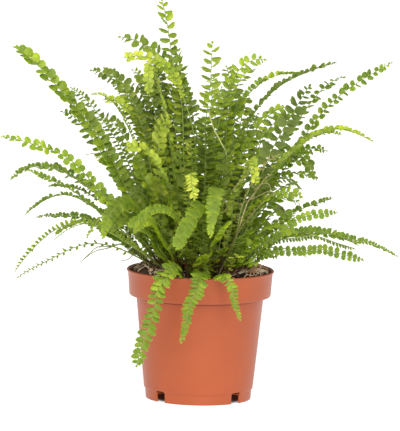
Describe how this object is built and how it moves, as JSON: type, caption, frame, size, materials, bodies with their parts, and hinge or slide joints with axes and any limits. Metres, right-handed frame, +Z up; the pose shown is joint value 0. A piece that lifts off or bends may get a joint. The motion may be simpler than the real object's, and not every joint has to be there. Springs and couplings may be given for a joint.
{
  "type": "potted fern",
  "caption": "Button fern with arching fronds of small round leaflets, rooted in a round plastic nursery pot with a tall collar and a notched foot.",
  "frame": {"origin": "the middle of the pot's foot, on the surface that the pot stands on", "axes": "+Z up along the pot's axis, -Y towards the front, where three fronds hang over the rim, +X to the right seen from the front"},
  "size_m": [0.3162, 0.2445, 0.32],
  "materials": {
    "pot": "terracotta orange moulded polypropylene with a soft satin sheen",
    "soil": "dark brown fibrous peat with pale dry root fibres on top",
    "leaf_dark": "older dark green leaflets, softly glossy above and matte below",
    "leaf_green": "mid green leaflets, softly glossy above and matte below",
    "leaf_light": "light green leaflets, softly glossy above and matte below",
    "leaf_lime": "young lime green leaflets with a thin waxy sheen"
  },
  "bodies": {
    "root": {"pot": "pot", "soil": "soil", "frond_left_1": "leaf_green", "frond_left_2": "leaf_dark", "frond_left_3": "leaf_light", "frond_left_4": "leaf_green", "frond_left_5": "leaf_green", "frond_left_6": "leaf_green", "frond_left_7": "leaf_dark", "frond_left_8": "leaf_green", "frond_left_9": "leaf_dark", "frond_left_10": "leaf_green", "frond_left_11": "leaf_green", "frond_left_12": "leaf_lime", "frond_left_13": "leaf_green", "frond_left_14": "leaf_light", "frond_upper_1": "leaf_lime", "frond_upper_2": "leaf_lime", "frond_upper_3": "leaf_lime", "frond_upper_4": "leaf_lime", "frond_upper_5": "leaf_green", "frond_upper_6": "leaf_dark", "frond_upper_7": "leaf_lime", "frond_top_1": "leaf_green", "frond_top_2": "leaf_light", "frond_top_3": "leaf_light", "frond_top_4": "leaf_dark", "frond_top_5": "leaf_green", "frond_top_6": "leaf_dark", "frond_right_1": "leaf_green", "frond_right_2": "leaf_dark", "frond_right_3": "leaf_light", "frond_right_4": "leaf_dark", "frond_right_5": "leaf_green", "frond_right_6": "leaf_dark", "frond_right_7": "leaf_light", "frond_right_8": "leaf_green", "frond_right_9": "leaf_green", "frond_right_10": "leaf_dark", "frond_right_11": "leaf_dark", "frond_right_12": "leaf_green", "frond_right_13": "leaf_lime", "frond_front_1": "leaf_light", "frond_front_2": "leaf_light", "frond_front_3": "leaf_lime", "frond_front_4": "leaf_lime", "frond_rim_1": "leaf_light", "frond_rim_2": "leaf_light", "frond_rim_3": "leaf_light", "frond_heart_1": "leaf_dark", "frond_heart_2": "leaf_green", "frond_right_14": "leaf_green", "frond_back_1": "leaf_green", "frond_back_2": "leaf_green", "frond_back_3": "leaf_dark", "frond_back_4": "leaf_green", "frond_back_5": "leaf_dark", "frond_back_6": "leaf_light"}
  },
  "joints": []
}
